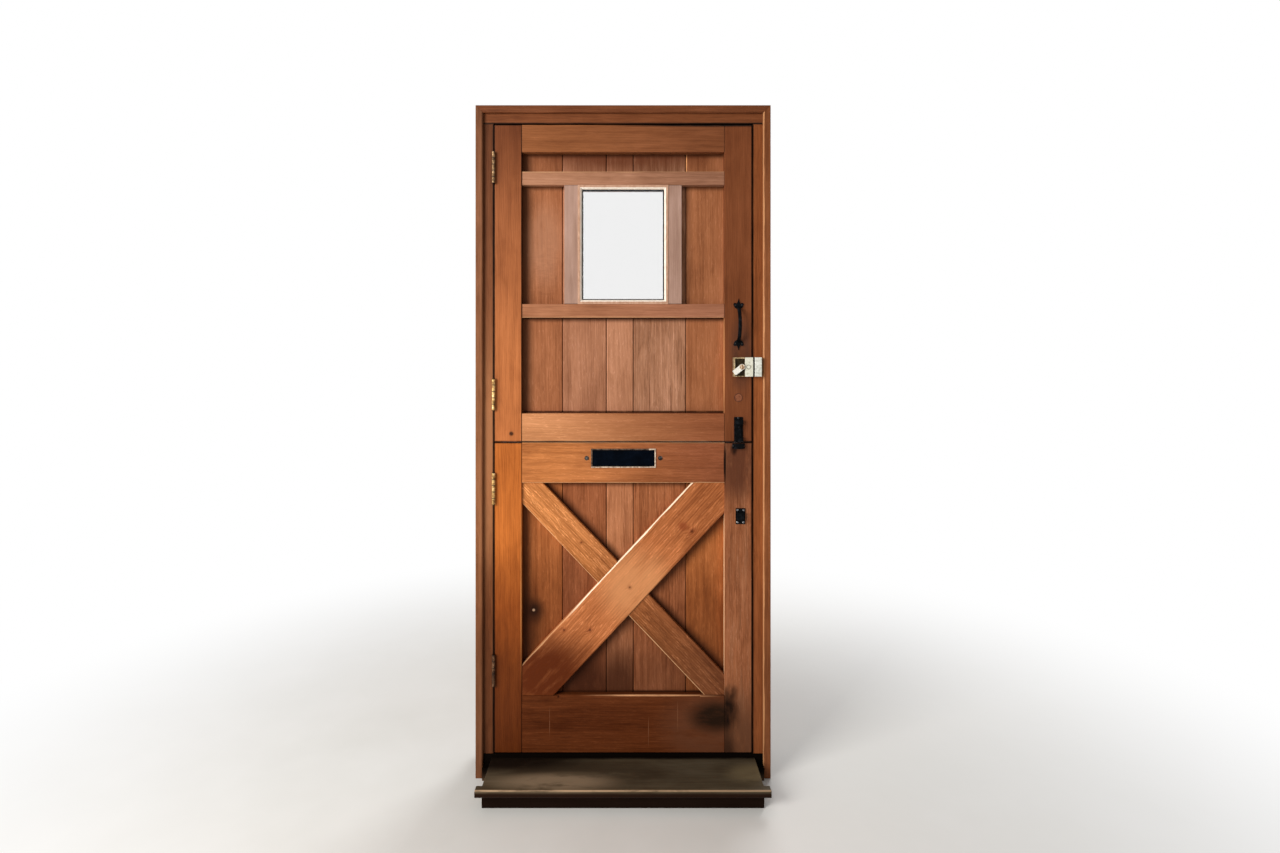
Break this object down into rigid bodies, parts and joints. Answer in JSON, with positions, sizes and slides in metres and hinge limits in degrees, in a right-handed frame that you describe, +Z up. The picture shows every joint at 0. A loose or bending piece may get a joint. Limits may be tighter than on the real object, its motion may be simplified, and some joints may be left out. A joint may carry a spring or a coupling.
{
  "type": "stable door with frame",
  "caption": "Split boarded timber front door with a small window, crossed braces, latch, letter plate and rebated frame.",
  "frame": {"origin": "underside of the sill, at the middle of the opening and in the plane of the leaves' room face", "axes": "+X from the hinge side to the latch side, +Y from the room to outdoors, +Z up"},
  "size_m": [0.927, 0.328, 2.114],
  "materials": {
    "frame_oak": "oiled hardwood",
    "leaf_oak": "oiled hardwood",
    "board_oak": "oiled hardwood, water-stained",
    "brace_oak": "oiled hardwood with knots",
    "step_oak": "worn hardwood",
    "brass": "tarnished",
    "black_iron": "black, worn",
    "latch_metal": "worn satin",
    "keeper_metal": "satin silver",
    "letter_black": "satin black",
    "letter_rim": "satin",
    "bar_steel": "dull galvanised",
    "glass": "clear",
    "spacer": "matt",
    "seal": "soft black"
  },
  "bodies": {
    "frame": {"frame_head": "frame_oak", "hinge_jamb": "frame_oak", "latch_jamb": "frame_oak", "frame_sill": "step_oak", "cover_strip_head": "frame_oak", "cover_strip_hinge_side": "frame_oak", "cover_strip_latch_side": "frame_oak", "weather_seal": "seal", "weather_bar": "bar_steel", "tread_board": "step_oak", "tread_riser": "step_oak", "hinge_frame_leaves": "brass", "latch_keeper": "keeper_metal"},
    "upper_leaf": {"upper_hinge_stile": "leaf_oak", "upper_latch_stile": "leaf_oak", "upper_top_rail": "leaf_oak", "upper_meeting_rail": "leaf_oak", "window_ledge_upper": "leaf_oak", "window_ledge_lower": "leaf_oak", "window_muntin_hinge_side": "leaf_oak", "window_muntin_latch_side": "leaf_oak", "upper_board_1": "board_oak", "upper_board_2": "board_oak", "upper_board_3": "board_oak", "upper_board_4": "board_oak", "upper_board_5": "board_oak", "glazing_panes": "glass", "glazing_spacer": "spacer", "glazing_beads": "leaf_oak", "hinge_leaves_upper": "brass", "pull_handle": "black_iron", "latch_case": "latch_metal", "rim_cylinder": "brass", "filled_hole_plug": "leaf_oak", "bolt_barrel": "black_iron", "upper_leaf_screws": "black_iron"},
    "lower_leaf": {"lower_hinge_stile": "leaf_oak", "lower_latch_stile": "leaf_oak", "lower_letter_rail": "leaf_oak", "lower_bottom_rail": "leaf_oak", "lower_board_1": "board_oak", "lower_board_2": "board_oak", "lower_board_3": "board_oak", "lower_board_4": "board_oak", "lower_board_5": "board_oak", "brace_main": "brace_oak", "brace_cross": "brace_oak", "weatherboard": "leaf_oak", "hinge_leaves_lower": "brass", "letter_sleeve": "letter_rim", "letter_outer_plate": "letter_black", "letter_studs": "letter_rim", "bolt_keeps": "black_iron", "lower_leaf_screws": "letter_rim"},
    "latch_bolt": {"latch_bolt": "latch_metal"},
    "latch_knob": {"latch_knob": "latch_metal"},
    "bolt_shoot": {"bolt_shoot": "black_iron"},
    "letter_flap_inner": {"letter_flap_inner": "letter_black"},
    "letter_flap_outer": {"letter_flap_outer": "letter_black"}
  },
  "joints": [
    {"name": "upper_leaf_hinge", "type": "hinge", "parent": "frame", "child": "upper_leaf", "pos_m": [-0.408, -0.006, 1.556], "axis": [0, 0, -1], "range_deg": [0, 110]},
    {"name": "lower_leaf_hinge", "type": "hinge", "parent": "frame", "child": "lower_leaf", "pos_m": [-0.408, -0.006, 0.564], "axis": [0, 0, -1], "range_deg": [0, 110]},
    {"name": "latch_bolt_slide", "type": "slide", "parent": "upper_leaf", "child": "latch_bolt", "axis": [1, 0, 0], "range_m": [0, 0.014]},
    {"name": "latch_knob_turn", "type": "hinge", "parent": "upper_leaf", "child": "latch_knob", "pos_m": [0.371, -0.024, 1.292], "axis": [0, 1, 0], "range_deg": [0, 50]},
    {"name": "bolt_shoot_slide", "type": "slide", "parent": "upper_leaf", "child": "bolt_shoot", "axis": [0, 0, -1], "range_m": [0, 0.017]},
    {"name": "letter_flap_inner_hinge", "type": "hinge", "parent": "lower_leaf", "child": "letter_flap_inner", "pos_m": [0.001, 0, 1.0268], "axis": [-1, 0, 0], "range_deg": [0, 80]},
    {"name": "letter_flap_outer_hinge", "type": "hinge", "parent": "lower_leaf", "child": "letter_flap_outer", "pos_m": [0.001, 0.0431, 1.0268], "axis": [-1, 0, 0], "range_deg": [0, 58]}
  ],
  "couplings": [
    {"joint": "latch_knob_turn", "follows": "latch_bolt_slide", "rad_per_m": 62.3}
  ]
}
